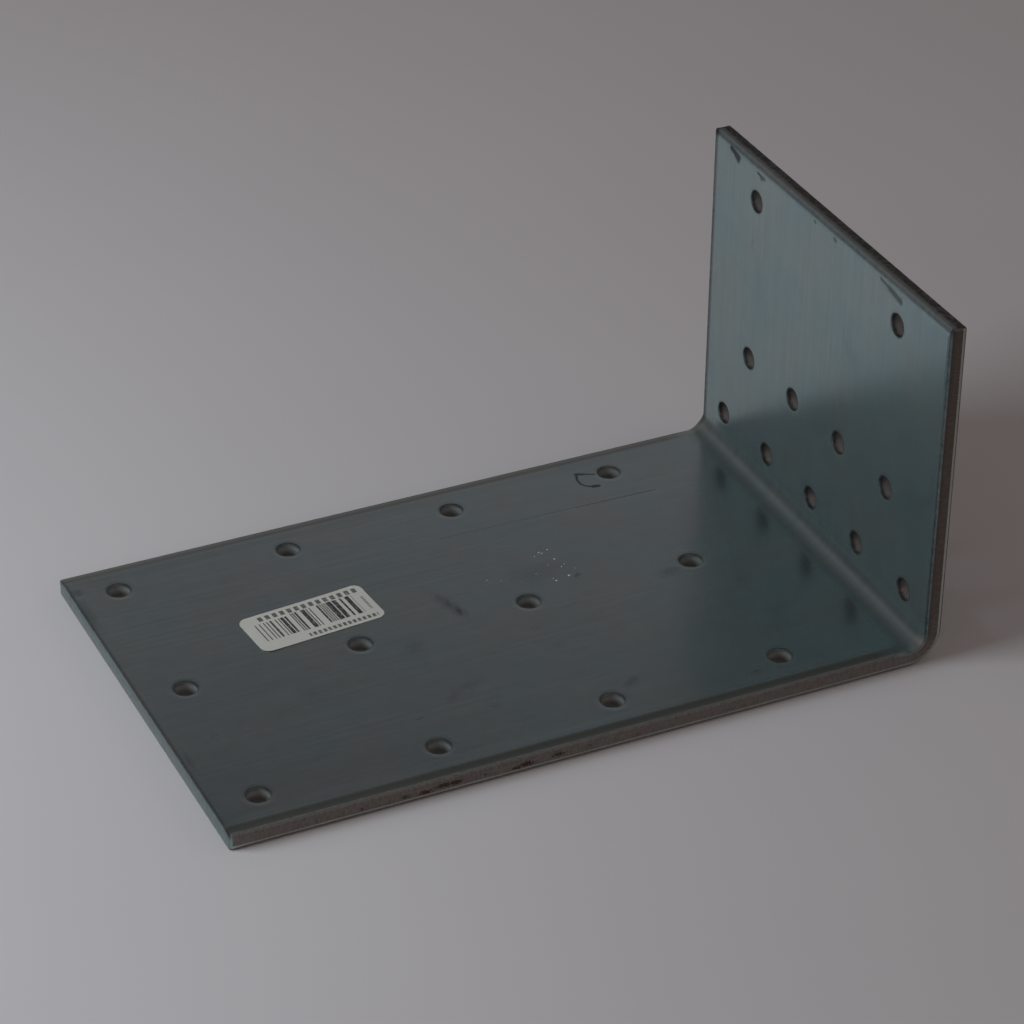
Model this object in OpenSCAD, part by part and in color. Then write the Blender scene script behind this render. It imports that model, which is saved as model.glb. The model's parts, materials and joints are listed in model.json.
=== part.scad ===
// Corner brace bracket: one strip of galvanised steel sheet, sheared, punched and
// folded once to a right angle, with a small paper label on the long leg.
// X runs along the long leg from its free end to the heel, Y across the strip, Z up.
// The long leg lies flat with its outside face at Z 0. The origin is under the centre
// of the overall box.

/* [Strip] */
// Overall length of the long leg, from its free end to the heel
leg_l = 160; // [120:1:260]
// Overall height of the short leg, from the heel to its free end
leg_h = 80; // [60:1:180]
// Width of the strip
strip_w = 100; // [60:1:160]
// Thickness of the sheet
sheet_t = 4; // [3:0.1:6]
// Inside radius of the fold
fold_r = 3.5; // [2:0.1:8]

/* [Sheared edges] */
// Radius that the shear rolls over on the edges of the inside faces
roll_r = 0.9; // [0.3:0.1:1.2]
// Radius that tumbling leaves on the edges of the outside faces
break_r = 0.9; // [0.2:0.1:1.2]
// Radius of the strip's four free corners, seen square on to a leg
corner_r = 0.8; // [0.4:0.1:4]

/* [Screw holes] */
// Diameter of every screw hole
hole_d = 5; // [3:0.1:8]
// Radius that the punch rolls over at the mouth of a hole, on the inside faces
mouth_r = 0.5; // [0.2:0.1:0.8]
// Holes along the long leg, in each of its three rows
long_cols = 4; // [2:1:6]
// Distance of the first column from the free end of the long leg
end_edge = 10; // [7:0.5:20]
// Distance of the last column from the heel
heel_edge = 33; // [20:0.5:45]
// Distance of the outer holes from the sides of the strip
side_edge = 10; // [7:0.5:15]
// Height of the short leg's low row above the heel
low_row = 12.5; // [12.5:0.5:18]
// Rise from the low row to the middle row of the short leg
row_rise = 19.5; // [10:0.5:25]
// Distance of the short leg's top pair from its free end
top_edge = 9; // [7:0.5:15]

/* [Paper label] */
// Length of the label
label_l = 29; // [15:0.5:40]
// Width of the label
label_w = 13.5; // [8:0.5:14]
// Thickness of the label with its glue
label_t = 0.1; // [0.1:0.05:0.3]
// Corner radius of the label
label_r = 2; // [0.5:0.5:4]
// Distance of the label's centre from the free end of the long leg
label_end = 43.5; // [40:0.5:60]
// Distance of the label's centre from the centre line of the strip
label_off = 13; // [12.5:0.5:14]
// Turn of the label on the leg, anticlockwise from above
label_turn = 5; // [-5:1:5]

/* [Hidden] */
$fn = 48;
past = 1;                              // how far a cutter runs past the face it cuts
free_x = -leg_l / 2;                   // free end of the long leg
heel_x = leg_l / 2;                    // outside face of the short leg
out_r = fold_r + sheet_t;              // outside radius of the fold
row_y = strip_w / 2 - side_edge;       // outer rows of the long leg
col_pitch = (leg_l - end_edge - heel_edge) / (long_cols - 1);
low_pitch = row_y / 2;                 // five holes in the low row

// Centres of the holes: x and y on the long leg, y and z on the short leg
long_holes = [for (i = [0 : long_cols - 1], y = [-row_y, 0, row_y])
    [free_x + end_edge + i * col_pitch, y]];
short_holes = concat(
    [for (i = [-2 : 2]) [i * low_pitch, low_row]],
    [for (i = [-1.5 : 1.5]) [i * low_pitch, low_row + row_rise]],
    [for (i = [-1.5, 1.5]) [i * low_pitch, leg_h - top_edge]]);

// What is left of a square corner at 0, 0 when it is rounded off to radius r
module corner_waste(r) {
    difference() {
        translate([-past, -past]) square(r + past);
        translate([r, r]) circle(r);
    }
}

// Cross section of the strip: thickness along +X from the inside face, width along Y
module strip_section() {
    difference() {
        translate([0, -strip_w / 2]) square([sheet_t, strip_w]);
        for (side = [0, 1]) mirror([0, side]) translate([0, -strip_w / 2]) {
            corner_waste(roll_r);
            translate([sheet_t, 0]) mirror([1, 0]) corner_waste(break_r);
        }
    }
}

// Flat length of strip along +Z, from 0 to len, inside face at X 0
module flat_strip(len) {
    linear_extrude(len) strip_section();
}

// Long leg, fold and short leg, with no holes and square ends
module folded_strip() {
    translate([free_x, 0, sheet_t]) rotate([0, 90, 0]) flat_strip(leg_l - out_r);
    translate([heel_x - sheet_t, 0, out_r]) flat_strip(leg_h - out_r);
    translate([heel_x - out_r, 0, out_r]) rotate([90, 90, 0])
        rotate_extrude(angle = 90) translate([fold_r, 0]) strip_section();
}

// Rounds the free end of a strip that ends at Z 0: both faces' edges and the corners
module end_waste() {
    rotate([90, 0, 0]) linear_extrude(strip_w + 2 * past, center = true) {
        corner_waste(roll_r);
        translate([sheet_t, 0]) mirror([1, 0]) corner_waste(break_r);
    }
    for (side = [0, 1]) mirror([0, side, 0]) translate([-past, -strip_w / 2, 0])
        rotate([90, 0, 90]) linear_extrude(sheet_t + 2 * past) corner_waste(corner_r);
}

// Punched hole on +Z, with its rolled mouth at the inside face at Z 0
module punched_hole() {
    translate([0, 0, -sheet_t - past]) cylinder(d = hole_d, h = sheet_t + 2 * past);
    rotate_extrude() translate([hole_d / 2, 0]) mirror([0, 1]) corner_waste(mouth_r);
}

// The folded, punched strip
module bracket() {
    color([0.42, 0.47, 0.50]) difference() {
        folded_strip();
        translate([free_x, 0, sheet_t]) rotate([0, 90, 0]) end_waste();
        translate([heel_x - sheet_t, 0, leg_h]) mirror([0, 0, 1]) end_waste();
        for (h = long_holes) translate([h.x, h.y, sheet_t]) punched_hole();
        for (h = short_holes) translate([heel_x - sheet_t, h.x, h.y])
            rotate([0, -90, 0]) punched_hole();
    }
}

// Outline of the label, rounded at its corners
module label_outline() {
    square([label_l - 2 * label_r, label_w], center = true);
    square([label_l, label_w - 2 * label_r], center = true);
    for (x = [-1, 1], y = [-1, 1])
        translate([x * (label_l / 2 - label_r), y * (label_w / 2 - label_r)])
            circle(label_r);
}

// The paper label, flat on the inside face of the long leg
module paper_label() {
    color([0.93, 0.93, 0.90]) translate([free_x + label_end, label_off, sheet_t])
        rotate(label_turn) linear_extrude(label_t) label_outline();
}

bracket();
paper_label();
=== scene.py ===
"""Corner brace bracket.

One strip of zinc-coated steel sheet, sheared, punched and folded once to a right angle, with a
small paper label on its long leg. Lengths are in metres; X runs along the long leg from its free
end to the heel, Y across the strip and Z up the short leg.

Most shapes are worked out on the flat strip, before it is folded: s is the distance along the
strip, measured at mid thickness in the fold, y the distance across it and d the depth below the
inside face. fold_up() then carries the flat strip round the fold.
"""

import json
import math
from functools import partial

import bpy
import numpy as np
from bpy.props import FloatProperty, FloatVectorProperty, IntProperty, PointerProperty
from mathutils import Matrix, Vector


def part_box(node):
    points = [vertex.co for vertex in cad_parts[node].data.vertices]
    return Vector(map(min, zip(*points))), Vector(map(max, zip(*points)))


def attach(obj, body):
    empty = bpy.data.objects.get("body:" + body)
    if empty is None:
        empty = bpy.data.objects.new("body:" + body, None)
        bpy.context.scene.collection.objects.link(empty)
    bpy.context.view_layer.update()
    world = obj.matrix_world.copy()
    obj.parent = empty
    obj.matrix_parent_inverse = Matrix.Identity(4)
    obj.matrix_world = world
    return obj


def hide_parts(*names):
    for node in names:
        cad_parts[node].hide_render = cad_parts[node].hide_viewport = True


bl_info = {
    "name": "Corner Brace Bracket",
    "version": (1, 0, 0),
    "blender": (4, 5, 0),
    "location": "View3D > Sidebar > Bracket",
    "description": "Folded and punched steel corner bracket with its finish, label and studio",
    "category": "Add Mesh",
}

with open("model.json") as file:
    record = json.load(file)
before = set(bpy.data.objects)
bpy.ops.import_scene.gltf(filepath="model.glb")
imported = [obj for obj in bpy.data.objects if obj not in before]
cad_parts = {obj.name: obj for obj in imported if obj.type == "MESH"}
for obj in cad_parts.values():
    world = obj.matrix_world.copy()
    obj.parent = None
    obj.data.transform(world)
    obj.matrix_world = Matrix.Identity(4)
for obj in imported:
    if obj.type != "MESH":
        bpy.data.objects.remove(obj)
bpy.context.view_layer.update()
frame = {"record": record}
STRIP_LOW, STRIP_HIGH = (np.array(corner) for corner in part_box("bracket"))
LABEL_LOW, LABEL_HIGH = (np.array(corner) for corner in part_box("paper_label"))
MM = 0.001
CLOSE = 1e-9  # lengths nearer to nothing than this count as nothing
SLACK = 1e-6  # allowance where grid lines are compared
PLACES = 7  # decimals that grid lines are rounded to, so that equal ones become one


def linear(text):
    """Linear RGBA of an sRGB hex colour such as "#8e9aa0"."""
    parts = [int(text[i : i + 2], 16) / 255 for i in (1, 3, 5)]
    return (*(c / 12.92 if c <= 0.04045 else ((c + 0.055) / 1.055) ** 2.4 for c in parts), 1.0)


# ---------------------------------------------------------------- sizes and colours


def length(name, description, default_mm):
    """A length property with its default given in millimetres."""
    return FloatProperty(name=name, description=description, default=default_mm * MM,
                         unit="LENGTH", precision=5)


def colour(name, description, text):
    """A colour property with its default given as sRGB hex."""
    return FloatVectorProperty(name=name, description=description, default=linear(text),
                               subtype="COLOR", size=4, min=0, max=1)


class StripSizes(bpy.types.PropertyGroup):
    """Sizes of the folded strip"""

    sheet: length("Sheet", "Thickness of the steel sheet", 4)
    fold_inside: length("Fold inside", "Inside radius of the fold", 3.5)
    roll_width: length("Roll width", "How far from a sheared edge the inside face bends over", 3.2)
    roll_depth: length("Roll depth", "How deep the shear draws the edge of the inside face", 0.65)
    end_width: length("End width", "How far the inside face bends over at the long leg's end", 0.5)
    end_depth: length("End depth", "How deep the cut draws the long leg's end", 0.2)
    heel_round: length("Outer rounding", "Radius on the edges of the outside face", 0.9)
    corner: length("Corner radius", "Radius of the four free corners", 0.8)
    mouth_width: length("Hole mouth", "How far from a hole's wall its mouth is rolled over", 0.12)
    mouth_depth: length("Mouth depth", "How deep the punch draws the mouth of a hole", 0.10)
    dish: length("Dish", "How deep the punch dishes the sheet round a hole", 0.015)
    bulge: length("Fold bulge", "How far squeezed metal stands out at the ends of the fold", 0.5)
    tear: length("Tear roughness", "Height of the roughness where the sheet tore", 0.05)
    waver: length("Waver", "How far the inside face is out of flat", 0.03)
    step: length("Grid step", "Spacing of the surface grid", 1.0)
    cell: length("Hole cell", "Half the side of the square of grid round a hole", 4)
    cell_steps: IntProperty(name="Cell steps", description="Grid steps along a hole's square",
                            default=8, min=4, max=24)


class LabelSizes(bpy.types.PropertyGroup):
    """Sizes of the paper label"""

    long: length("Length", "Length of the label", 29)
    wide: length("Width", "Width of the label", 13.5)
    corner: length("Corner radius", "Radius of the label's corners", 2)
    paper: length("Paper", "Thickness of the paper and its glue", 0.1)
    lift: length("Lift", "How far the label's corners lift", 0.25)
    turn: FloatProperty(name="Turn", description="Turn of the label on the leg",
                        default=math.radians(5), unit="ROTATION")


class Finish(bpy.types.PropertyGroup):
    """Colours and gloss of the surfaces"""

    zinc_blue: colour("Zinc, blue", "Cooler patches of the zinc coat", "#a6bfc2")
    zinc_grey: colour("Zinc, grey", "Warmer patches of the zinc coat", "#adbfbf")
    burnished: colour("Burnished edge", "Metal polished by the shear", "#b0ada2")
    torn: colour("Torn edge", "Bare metal where the sheet tore", "#74706a")
    # torn_dark is also painted shade over the whole of the short leg's torn edge
    torn_dark: colour("Torn edge, dark", "Hollows of the torn metal", "#534a42")
    hole_wall: colour("Hole wall", "Bare metal inside the punched holes", "#877f77")
    # The next colour is the light scratches and also a painted highlight on one side of each hole's
    # wall.
    rub_and_highlight: colour("Hole polish", "Where the punch rubbed a hole's wall bright", "#e2ded4")
    # The next colour is an oily layer, partly painted dark reflection on the long leg's bent edges
    # and painted shade beside the fold.
    film_and_shade: colour("Film", "Oily film on the bent edges and in patches", "#54513f")
    rust: colour("Rust", "Rust on the sheared edge", "#3d2716")
    # The next colour is dirt and dents, and also painted shade in the holes and under the near
    # rounding.
    dirt_and_shade: colour("Soil", "Oily smudges and dents that hold dirt", "#2e2f2a")
    paper: colour("Paper", "The label's paper", "#d9d9cd")
    ink: colour("Ink", "Print on the label", "#26262a")
    flecks: colour("Flecks", "Paper and glue left on the sheet", "#e4e6e0")
    roughness: FloatProperty(name="Zinc roughness", description="Roughness of the clean zinc coat",
                             default=0.23, min=0, max=1, subtype="FACTOR")


class Studio(bpy.types.PropertyGroup):
    """Floor, lights and camera"""

    floor: colour("Floor", "Matt pale floor", "#dbd8d5")
    sky: colour("Surroundings", "Dim room round the studio", "#8b8182")
    window: FloatProperty(name="Window", description="Power of the soft side light",
                          default=2.85, min=0, unit="POWER")
    fill: FloatProperty(name="Fill", description="Power of the weak light overhead",
                        default=1.4, min=0, unit="POWER")
    camera: FloatVectorProperty(name="Camera", description="Place of the camera", subtype="XYZ",
                                default=(-0.2709, -0.5741, 0.4287), unit="LENGTH", precision=5)
    aim: FloatVectorProperty(name="Aim", description="Point at the middle of the picture",
                             subtype="XYZ", default=(-0.0043, -0.0170, 0.0395), unit="LENGTH",
                             precision=5)
    roll: FloatProperty(name="Roll", description="Turn of the camera about its own axis",
                        default=math.radians(0.65), unit="ROTATION")
    lens: FloatProperty(name="Lens", description="Focal length in mm on a 36 mm sensor",
                        default=126.4, min=1)


# ---------------------------------------------------------------- marks on the strip

# Marks are listed for the long leg and then for the short leg, in mm on the unfolded strip: x is
# the frame's X on the long leg and the height on the short leg, and y is across the strip.
# Each soft mark is x, y, half length, half width, turn in degrees, and strength.
DENTS = ([
    (-78.5, 42.0, 1.0, 0.8, 0, 0.06)
], [
    (78.0, 39.8, 2.6, 1.0, 93, 0.06), (77.4, -27.1, 3.6, 1.0, 92, 0.06)
])
SMUDGES = ([
    (40.9, -1.9, 2.6, 1.4, 10, 0.16), (-7.7, 5.5, 4.4, 0.45, -73, 0.26),
    (-7.1, 2.6, 1.3, 0.8, -73, 0.30), (-8.2, 6.5, 4.2, 1.6, -73, 0.12),
    (-21.1, -5.7, 2.6, 2.0, 60, 0.12), (5.4, -9.5, 1.2, 0.6, 0, 0.14),
    (6.7, -17.5, 0.5, 0.35, 20, 0.45), (11.0, -9.6, 0.35, 0.25, 0, 0.35),
    (22.2, 5.3, 0.55, 0.35, 0, 0.70), (14.0, 9.0, 6.5, 3.2, 0, 0.08),
    (-21.0, -25.3, 1.8, 1.0, 40, 0.14), (-16.4, -23.1, 2.2, 1.2, 0, 0.12),
    (-14.9, -31.6, 1.6, 0.8, -20, 0.12), (14.6, -35.6, 2.0, 0.8, 30, 0.22),
    (39.5, -43.3, 0.5, 0.4, 0, 0.80), (-70.6, -17.7, 0.8, 0.35, 0, 0.30),
    (-78.2, -24.0, 3.0, 0.4, 90, 0.26), (-46.0, -12.0, 4.0, 2.5, 0, 0.06),
    (-79.0, 34.0, 6.0, 1.2, 90, 0.16)
], [
    (56.0, -12.0, 4.5, 2.5, 40, 0.05), (50.0, 26.0, 9.0, 2.2, 10, 0.04)
])
# Rust on the long leg's near sheared edge: x, half length, depth, half depth (mm), strength
RUST = [
    (-59.5, 0.5, 2.7, 0.25, 0.8), (-52.0, 0.5, 2.3, 0.45, 0.9), (-46.5, 0.8, 2.7, 0.30, 0.7),
    (-42.5, 1.6, 2.3, 0.60, 0.7), (-38.4, 1.3, 2.4, 0.60, 1.2), (-34.6, 1.5, 1.9, 0.60, 1.1),
    (-31.4, 1.6, 1.9, 0.70, 1.0), (-25.0, 1.0, 2.1, 0.40, 0.8), (-18.6, 0.9, 2.5, 0.50, 1.0),
    (-16.0, 1.6, 2.1, 0.60, 1.2), (-9.1, 1.7, 1.9, 0.60, 0.9), (-1.7, 1.0, 1.8, 0.40, 0.7),
    (9.0, 1.4, 2.4, 0.35, 0.6), (30.0, 1.0, 2.2, 0.4, 0.6),
]


def bell(x):
    """Share exp(-x squared): 1 where x is 0 and next to nothing past 2."""
    return np.exp(-x * x)


def soft_marks(marks, s, y, heel_s):
    """Sum of soft elliptic spots: each is its strength times the bell of the distance from its
    centre in half lengths along it, times that in half widths across it."""
    total = np.zeros_like(s)
    for origin, spots in zip((0.0, heel_s), marks):
        for x, across, half_long, half_wide, turn, strength in spots:
            cos, sin = math.cos(math.radians(turn)), math.sin(math.radians(turn))
            ds, dy = s - (origin + x * MM), y - across * MM
            a = (ds * cos + dy * sin) / (half_long * MM)
            b = (dy * cos - ds * sin) / (half_wide * MM)
            total += strength * bell(a) * bell(b)
    return total


def ripple(a, b, seed):
    """Smooth roughness of height about 1: seven sine waves across the a, b plane, with wave
    numbers, directions and phases drawn from the seed."""
    draw = np.random.default_rng(seed)
    total = 0
    for _ in range(7):
        angle, number, phase = draw.uniform((0, 0.6, 0), (math.pi, 2.4, 6.28))
        total = total + np.sin(number * (a * math.cos(angle) + b * math.sin(angle)) + phase)
    return total / 2.6


# ---------------------------------------------------------------- the folded strip


class Flat:
    """The strip laid flat: where the fold and the ends are along s, from the CAD box."""

    def __init__(self, sizes):
        self.sheet, self.inside = sizes.sheet, sizes.fold_inside
        self.outside = self.inside + self.sheet
        self.middle = self.inside + self.sheet / 2
        self.half_w = (STRIP_HIGH[1] - STRIP_LOW[1]) / 2
        self.low = STRIP_LOW[0]
        self.fold_start = STRIP_HIGH[0] - self.outside
        self.fold_end = self.fold_start + self.middle * math.pi / 2
        self.heel = self.fold_end - self.outside  # s of a point at no height on the short leg
        self.high = self.heel + STRIP_HIGH[2]

    def fold_up(self, s, y, d):
        """Folds flat points: straight up to the fold, then round it by the angle that the mid
        thickness runs through, then straight up the short leg."""
        angle = np.clip((s - self.fold_start) / self.middle, 0, math.pi / 2)
        before = np.minimum(s - self.fold_start, 0)
        after = np.maximum(s - self.fold_end, 0)
        reach = self.inside + d
        x = self.fold_start + before + reach * np.sin(angle)
        z = self.outside - reach * np.cos(angle) + after
        return np.stack([x, y, z], axis=-1)

    def bend_share(self, s):
        """How far round the fold s is: 0 on the long leg and 1 on the short leg."""
        return np.clip((s - self.fold_start) / (self.fold_end - self.fold_start), 0, 1)

    def in_fold(self, s):
        """How far s is into the fold: nothing on the legs, 1 in the middle of the fold."""
        return np.sin(math.pi * self.bend_share(s)) ** 2

    def insets(self, s, y):
        """Distances from the nearer side, from the short leg's top and from the free end."""
        return self.half_w - np.abs(y), self.high - s, s - self.low


def hole_centres(flat):
    """Flat centres of the screw holes, from the bolt patterns that the record states."""
    found = set()
    for mount in frame["record"]["mounts"]:
        if mount["kind"] != "bolt_pattern":
            continue
        x, y, z = mount["pos_m"]
        first = mount["dims"].get("spacing_x_mm", 0) * MM / 2
        second = mount["dims"].get("spacing_y_mm", 0) * MM / 2
        on_long = abs(mount["axis"][2]) > 0.5
        for a in (-first, first):
            for b in (-second, second):
                s, across = (x + a, y + b) if on_long else (flat.heel + z + b, y + a)
                found.add((round(s, 6), round(across, 6)))
    return np.array(sorted(found))


def from_hole(centres, s, y):
    """Offsets of points along s and y from the centre of the nearest hole."""
    best_s, best_y = s - centres[0, 0], y - centres[0, 1]
    for cs, cy in centres[1:]:
        nearer = np.hypot(s - cs, y - cy) < np.hypot(best_s, best_y)
        best_s, best_y = np.where(nearer, s - cs, best_s), np.where(nearer, y - cy, best_y)
    return best_s, best_y


def hole_radius():
    """Radius of the screw holes, from the record."""
    return next(m["dims"]["hole_r_mm"] for m in frame["record"]["mounts"]
                if m["kind"] == "bolt_pattern") * MM


def grid_lines(low, high, centres, extra, insets, sizes):
    """Grid lines from low to high: close together by both ends, cell_steps even steps across the
    square round each hole, and about one grid step apart elsewhere."""
    inner_low, inner_high = low + insets[-1], high - insets[-1]
    cells = np.concatenate([centres - sizes.cell, centres + sizes.cell])
    breaks = np.unique(np.round(np.concatenate([[inner_low, inner_high], extra, cells]), PLACES))
    lines = [low + insets, high - insets]
    for a, b in zip(breaks[:-1], breaks[1:]):
        is_cell = np.any(np.abs((a + b) / 2 - centres) < SLACK)
        steps = sizes.cell_steps if is_cell else math.ceil((b - a) / sizes.step - SLACK)
        lines.append(np.linspace(a, b, steps + 1))
    return np.unique(np.round(np.concatenate(lines), PLACES))


def round_corners(a, b, half_a, half_b, radius):
    """Turns the square of side radius in each corner of a centred rectangle into a quarter disc:
    a point's greater distance from the disc's centre along a or b becomes its true distance."""
    over_a, over_b = np.abs(a) - (half_a - radius), np.abs(b) - (half_b - radius)
    corner = (over_a > CLOSE) & (over_b > CLOSE)
    far = np.where(corner, np.hypot(over_a, over_b), 1)
    scale = np.where(corner, np.maximum(over_a, over_b) / far, 1)
    return (np.where(corner, np.sign(a) * (half_a - radius + over_a * scale), a),
            np.where(corner, np.sign(b) * (half_b - radius + over_b * scale), b))


def bent_drop(distance, width, depth):
    """Drop of a face that bends over towards an edge: it grows as the power 2.2 of the way in,
    to depth at the edge itself, and is nothing at width or more from it."""
    return depth * np.clip(1 - distance / width, 0, 1) ** 2.2


def round_drop(distance, width, depth):
    """Drop of a rounded edge: a quarter ellipse, depth deep at no distance from the edge and
    nothing at width or more."""
    u = np.clip(1 - distance / width, 0, 1)
    return depth * (1 - np.sqrt(1 - u * u))


def grid_quads(count_a, count_b):
    """Quads of a grid of vertices that are numbered along b first, one for each square."""
    first = np.arange(count_a * count_b).reshape(count_a, count_b)[:-1, :-1]
    return np.stack([first, first + count_b, first + count_b + 1, first + 1], axis=-1)


def grid_outline(count_a, count_b):
    """Vertex numbers round the border of such a grid, anticlockwise."""
    number = np.arange(count_a * count_b).reshape(count_a, count_b)
    return np.concatenate([number[:-1, 0], number[-1, :-1], number[:0:-1, -1], number[0, :0:-1]])


def ring_quads(first, second):
    """Quads between closed rings of vertex numbers: first, second, next second, next first."""
    after = [np.roll(ring, -1, axis=-1) for ring in (first, second)]
    return np.stack([first, second, after[1], after[0]], axis=-1).reshape(-1, 4)


class Surface:
    """Vertices of a surface gathered in flat coordinates, and its quads."""

    def __init__(self):
        self.points, self.wall, self.quads, self.count = [], [], [], 0

    def add(self, s, y, d, wall):
        """Adds points given as arrays of one shape, and returns their numbers in that shape."""
        s, y, d, wall = np.broadcast_arrays(s, y, d, wall)
        self.points.append(np.stack([s, y, d], axis=-1).reshape(-1, 3))
        self.wall.append(wall.reshape(-1))
        numbers = self.count + np.arange(s.size).reshape(s.shape)
        self.count += s.size
        return numbers

    def join(self, quads, turned=False):
        """Adds quads, turned over where their front is to face the other way."""
        self.quads.append(quads[:, ::-1] if turned else quads)

    def finished(self):
        """Points, torn shares and quads, without the points that no quad uses."""
        points, wall = np.concatenate(self.points), np.concatenate(self.wall)
        quads = np.concatenate(self.quads)
        used, quads = np.unique(quads, return_inverse=True)
        return points[used], wall[used], quads.reshape(-1, 4)


IN_HOLE = 0.7  # share of torn metal on the holes' walls
FAR_MOUTH = 0.2 * MM  # how far from a hole's wall the outside face is rounded
FAR_MOUTH_DEPTH = 0.15 * MM
TEAR_START, TEAR_BLEND = 1.6 * MM, 0.6 * MM  # where a hole's wall turns from cut to torn


def strip_surface(sizes, flat):
    """The whole skin of the strip in flat coordinates: two faces, each a grid with a square round
    every hole filled by rings that turn from the hole's circle to the square, the sheared wall
    round the outline, and the holes' walls."""
    centres, radius = hole_centres(flat), hole_radius()
    quarter = 1 - np.cos(np.radians([0, 9, 18, 28, 39, 50, 61, 72, 82, 90]))
    insets = np.concatenate([sizes.roll_width * quarter, [sizes.roll_width * 1.35]])
    s_lines = grid_lines(flat.low, flat.high, np.unique(centres[:, 0]),
                         [flat.fold_start, flat.fold_end], insets, sizes)
    fold = np.linspace(flat.fold_start, flat.fold_end, 15)
    s_lines = np.unique(np.round(np.concatenate([
        s_lines[(s_lines < flat.fold_start) | (s_lines > flat.fold_end)], fold]), PLACES))
    y_lines = grid_lines(-flat.half_w, flat.half_w, np.unique(centres[:, 1]), [], insets, sizes)
    s_grid, y_grid = np.meshgrid(s_lines, y_lines, indexing="ij")
    middle, half_s = (flat.low + flat.high) / 2, (flat.high - flat.low) / 2
    rounded_s, rounded_y = round_corners(s_grid - middle, y_grid, half_s, flat.half_w,
                                         sizes.corner)
    rounded_s = rounded_s + middle
    inset = flat.insets(s_grid, y_grid)
    count_s, count_y = s_grid.shape

    # the squares round the holes, as rings of grid numbers that run anticlockwise
    steps = sizes.cell_steps
    ring_i, ring_j = np.divmod(grid_outline(steps + 1, steps + 1), steps + 1)
    first_i = np.searchsorted(s_lines, centres[:, 0] - sizes.cell - SLACK)
    first_j = np.searchsorted(y_lines, centres[:, 1] - sizes.cell - SLACK)
    square = (first_i[:, None] + ring_i) * count_y + first_j[:, None] + ring_j
    angle = np.radians(-135) + np.arange(4 * steps) * math.pi / (2 * steps)
    circle = np.stack([np.cos(angle), np.sin(angle)], axis=-1)
    solid = np.ones((count_s - 1, count_y - 1), bool)
    for i, j in zip(first_i, first_j):
        solid[i : i + steps, j : j + steps] = False
    squares = grid_quads(count_s, count_y)[solid]
    outline = grid_outline(count_s, count_y)

    def near_hole(s, y):
        """Distance from the wall of the nearest hole."""
        return np.maximum(np.hypot(*from_hole(centres, s, y)) - radius, 0)

    def inside_depth(s, y, inset):
        """Depth of the inside face: the deepest of its bent edges, then the holes' mouths and the
        shallow ripple round them, dents, and a slight waver away from the edges and the fold."""
        side, top, end = inset
        on_short = flat.bend_share(s)
        bent = bent_drop(side, sizes.roll_width * (1 - 0.7 * on_short),
                         sizes.roll_depth * (1 - 0.4 * on_short))
        bent = np.maximum(bent, bent_drop(top, 0.5 * sizes.roll_width, sizes.roll_depth))
        bent = np.maximum(bent, bent_drop(end, sizes.end_width, sizes.end_depth))
        gap = near_hole(s, y)
        dished = bell(gap / (0.9 * MM)) - 0.35 * bell((gap - 1.25 * MM) / (0.35 * MM))
        dents = soft_marks(DENTS, s, y, flat.heel) * MM
        waver = sizes.waver * (1 + ripple(s / (14 * MM), y / (14 * MM), 5)) / 2
        flat_share = np.clip(np.minimum.reduce(inset) / (6 * MM), 0, 1)
        flat_share = flat_share * (1 - flat.in_fold(s))
        return (bent + bent_drop(gap, sizes.mouth_width, sizes.mouth_depth)
                + sizes.dish * dished + dents + (waver + 0.02 * MM) * flat_share)

    def outside_depth(s, y, inset):
        """Depth of the outside face: its rounded edges and the slight rounding of the holes."""
        side, top, end = inset
        lift = np.maximum(round_drop(np.minimum(side, top), sizes.heel_round, sizes.heel_round),
                          round_drop(end, 0.4 * MM, 0.4 * MM))
        return flat.sheet - lift - round_drop(near_hole(s, y), FAR_MOUTH, FAR_MOUTH_DEPTH)

    surface = Surface()
    faces = []
    for depth_of, reach, turned in ((inside_depth, sizes.mouth_width, False),
                                    (outside_depth, FAR_MOUTH, True)):
        depth = depth_of(rounded_s, rounded_y, inset)
        if turned:  # the shear also left its mark on the outside face's rounding
            over = near_edge(np.minimum.reduce(inset), 1.2, 0.8)
        else:  # the tear reaches over the long leg's bent edges
            over = near_edge(inset[0], 1.1, 0.8)
            over *= np.clip((flat.fold_start - rounded_s) / (3 * MM), 0, 1)
            over *= np.clip((inset[2] - 0.2 * MM) / (0.5 * MM), 0, 1)
        grid = surface.add(rounded_s, rounded_y, depth, over)
        surface.join(grid.reshape(-1)[squares], turned)
        # rings: circles that step out over the rolled mouth, then some that turn to the square
        radii = radius + np.concatenate([reach * np.array([0, 0.2, 0.5, 1.0]),
                                         MM * np.array([0.45, 0.7, 0.95, 1.15, 1.35])])
        share = np.array([0, 0, 0, 0, 0.05, 0.15, 0.32, 0.52, 0.75])
        on_circle = radii[:, None, None] * circle
        on_square = (np.stack([s_grid, y_grid], axis=-1).reshape(-1, 2)[square]
                     - centres[:, None, :])
        spot = (on_circle[None] * (1 - share)[None, :, None, None]
                + on_square[:, None] * share[None, :, None, None])
        ring_s = spot[..., 0] + centres[:, 0, None, None]
        ring_y = spot[..., 1] + centres[:, 1, None, None]
        ring_depth = depth_of(ring_s, ring_y, flat.insets(ring_s, ring_y))
        rings = surface.add(ring_s, ring_y, ring_depth, 0.0)
        rings = np.concatenate([rings, grid.reshape(-1)[square][:, None]], axis=1)
        surface.join(ring_quads(rings[:, :-1], rings[:, 1:]), turned)
        faces.append((grid.reshape(-1)[outline], rings[:, 0], depth.reshape(-1)[outline]))

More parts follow.
